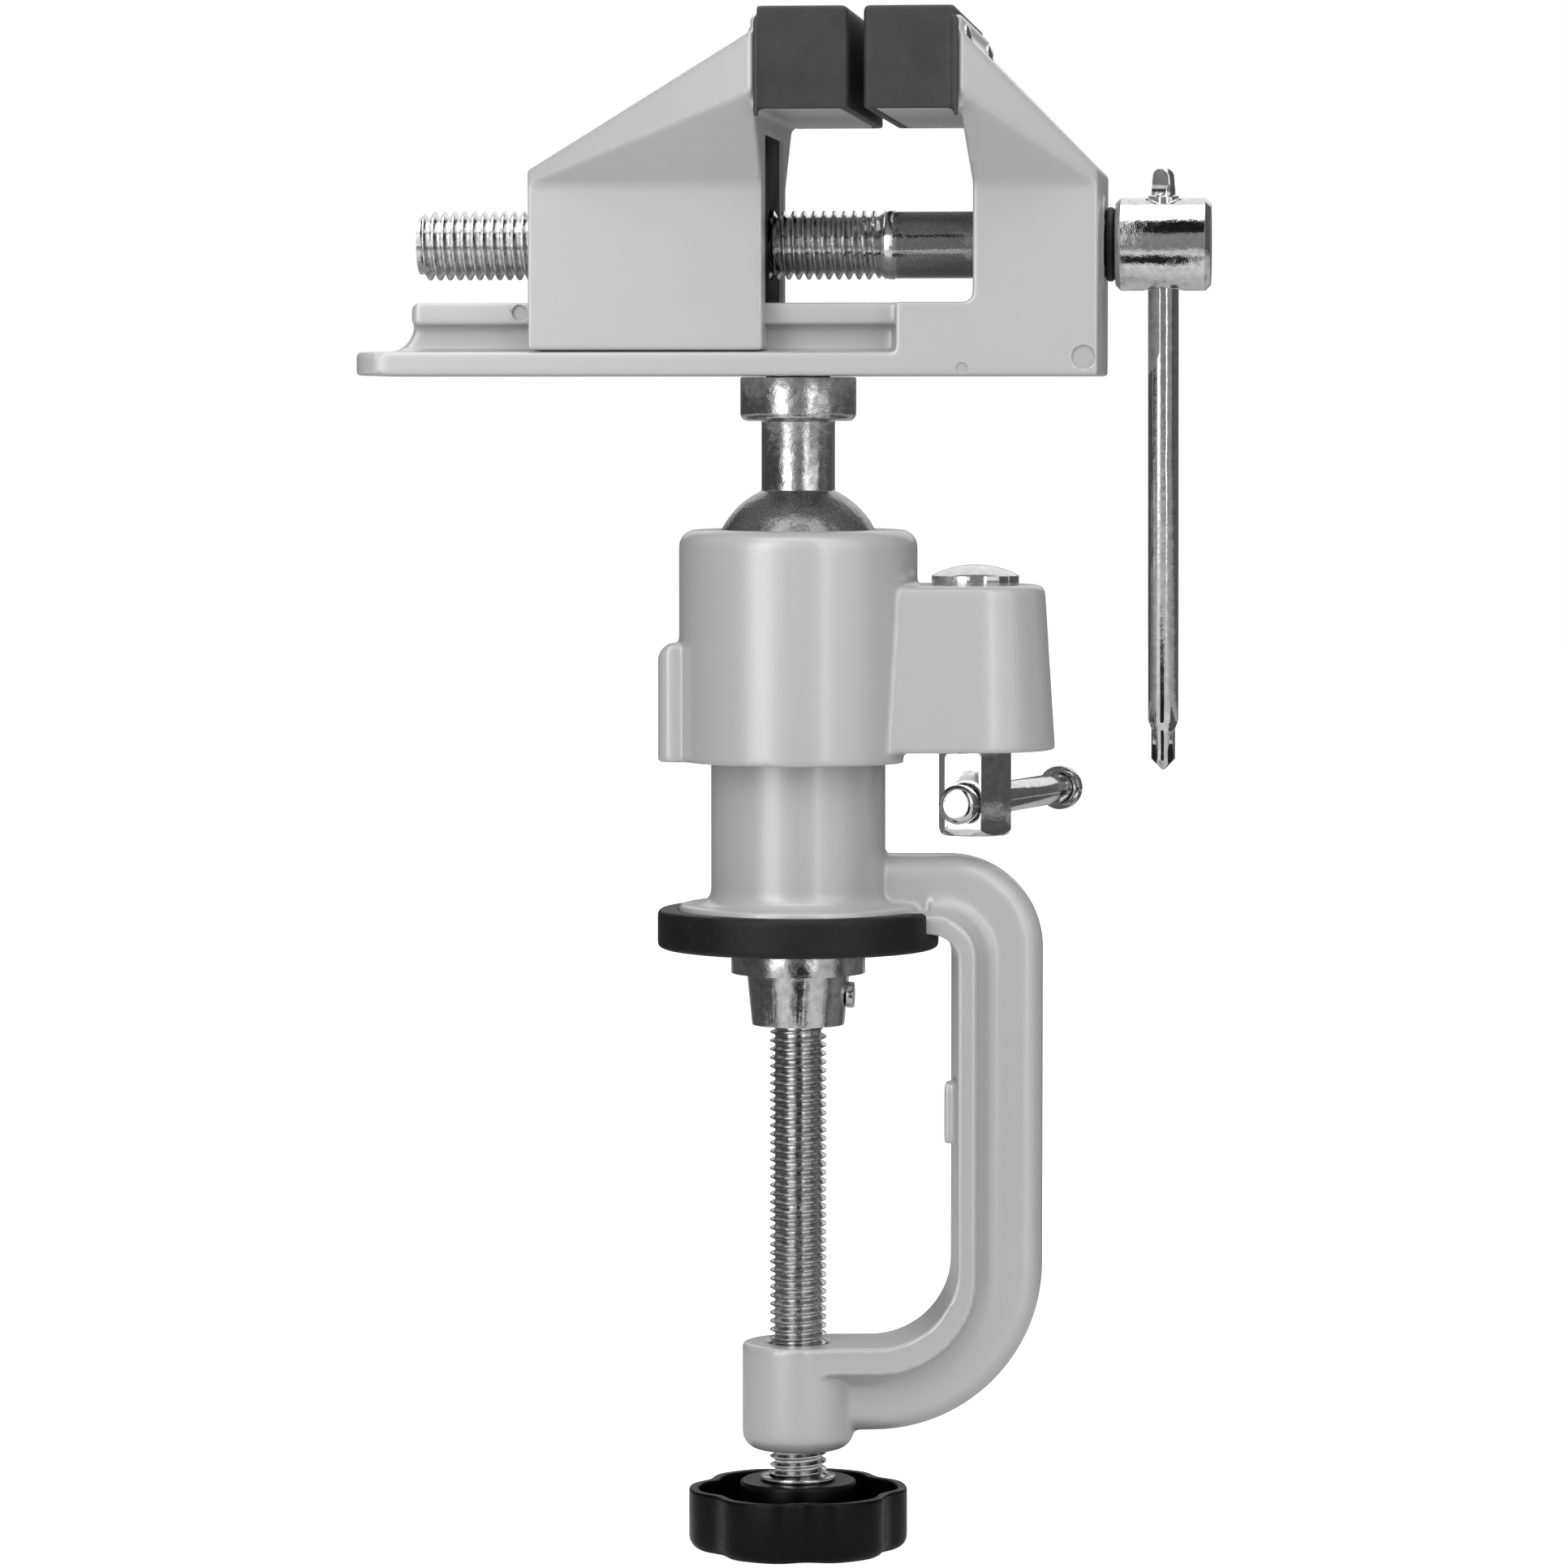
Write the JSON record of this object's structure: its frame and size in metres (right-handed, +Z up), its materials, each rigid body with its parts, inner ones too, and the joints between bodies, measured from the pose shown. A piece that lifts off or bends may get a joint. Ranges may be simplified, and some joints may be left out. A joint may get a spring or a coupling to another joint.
{
  "type": "tilting clamp-on vise",
  "caption": "Bench vise with rubber-faced jaws on a lockable ball joint, held to a table edge by a C-frame and clamp screw.",
  "frame": {"origin": "centre of the rubber clamp face that presses on the table top, on the common axis of the post, the ball and the clamp screw", "axes": "+Z up along the post, +X along the jaws' travel towards the fixed jaw and its screw head, +Y across the jaws"},
  "size_m": [0.1468, 0.0846, 0.2678],
  "materials": {
    "cast_paint": "satin light grey paint on die-cast aluminium",
    "pad_rubber": "moulded black rubber",
    "jaw_rubber": "soft dark grey rubber",
    "knob_plastic": "black moulded plastic, semi gloss",
    "chrome": "bright plated steel",
    "zinc_steel": "zinc plated steel",
    "dark_steel": "plated steel with a darker greased ball"
  },
  "bodies": {
    "frame": {"c_frame": "cast_paint", "clamp_pad_cap": "pad_rubber", "ball_seat": "zinc_steel"},
    "housing": {"ball_housing": "cast_paint", "lock_yoke": "dark_steel", "yoke_pin": "zinc_steel", "lock_bolt": "chrome"},
    "lock_nut": {"lock_nut": "chrome"},
    "lock_bar": {"lock_bar": "chrome", "lock_bar_caps": "chrome"},
    "ball": {"ball_stud": "dark_steel"},
    "bed": {"vise_bed": "cast_paint", "fixed_jaw_cap": "jaw_rubber", "fixed_cap_screws": "zinc_steel", "screw_keeper_pin": "zinc_steel"},
    "moving_jaw": {"moving_jaw": "cast_paint", "moving_jaw_cap": "jaw_rubber", "moving_cap_screws": "zinc_steel", "jaw_cover": "knob_plastic", "jaw_nut": "zinc_steel"},
    "lead_screw": {"lead_screw": "chrome", "thrust_ring": "pad_rubber"},
    "tommy_bar": {"tommy_bar": "chrome"},
    "swivel_pad": {"swivel_pad": "zinc_steel", "swivel_pin": "zinc_steel"},
    "clamp_screw": {"clamp_screw": "zinc_steel", "clamp_knob": "knob_plastic", "knob_insert": "zinc_steel"}
  },
  "joints": [
    {"name": "housing_swivel", "type": "hinge", "parent": "frame", "child": "housing", "pos_m": [0, 0, 0.045], "axis": [0, 0, 1], "continuous": true},
    {"name": "ball_tilt", "type": "hinge", "parent": "housing", "child": "ball", "pos_m": [0, 0, 0.0663], "axis": [1, 0, 0], "range_deg": [-35, 35]},
    {"name": "head_turn", "type": "hinge", "parent": "ball", "child": "bed", "pos_m": [0, 0, 0.1], "axis": [0, 0, 1], "continuous": true},
    {"name": "jaw_slide", "type": "slide", "parent": "bed", "child": "moving_jaw", "axis": [-1, 0, 0], "range_m": [-0.0022, 0.04]},
    {"name": "lead_screw_turn", "type": "hinge", "parent": "bed", "child": "lead_screw", "pos_m": [0.06, 0, 0.1225], "axis": [1, 0, 0], "range_deg": [-460, 8300]},
    {"name": "tommy_bar_slide", "type": "slide", "parent": "lead_screw", "child": "tommy_bar", "axis": [0, -0.1045, 0.9945], "range_m": [0, 0.076]},
    {"name": "lock_nut_turn", "type": "hinge", "parent": "housing", "child": "lock_nut", "pos_m": [0.03078, 0.00269, 0.03], "axis": [0, 0, 1], "range_deg": [-150, 60]},
    {"name": "lock_bar_slide", "type": "slide", "parent": "lock_nut", "child": "lock_bar", "axis": [-0.299, -0.9542, 0], "range_m": [-0.0008, 0.036]},
    {"name": "clamp_screw_travel", "type": "slide", "parent": "frame", "child": "swivel_pad", "axis": [0, 0, -1], "range_m": [0, 0.056]},
    {"name": "clamp_screw_turn", "type": "hinge", "parent": "swivel_pad", "child": "clamp_screw", "pos_m": [0, 0, -0.05], "axis": [0, 0, -1], "range_deg": [-10, 13500]}
  ],
  "couplings": [
    {"joint": "lead_screw_turn", "follows": "jaw_slide", "rad_per_m": 3590.4},
    {"joint": "clamp_screw_turn", "follows": "clamp_screw_travel", "rad_per_m": 4188.8}
  ]
}
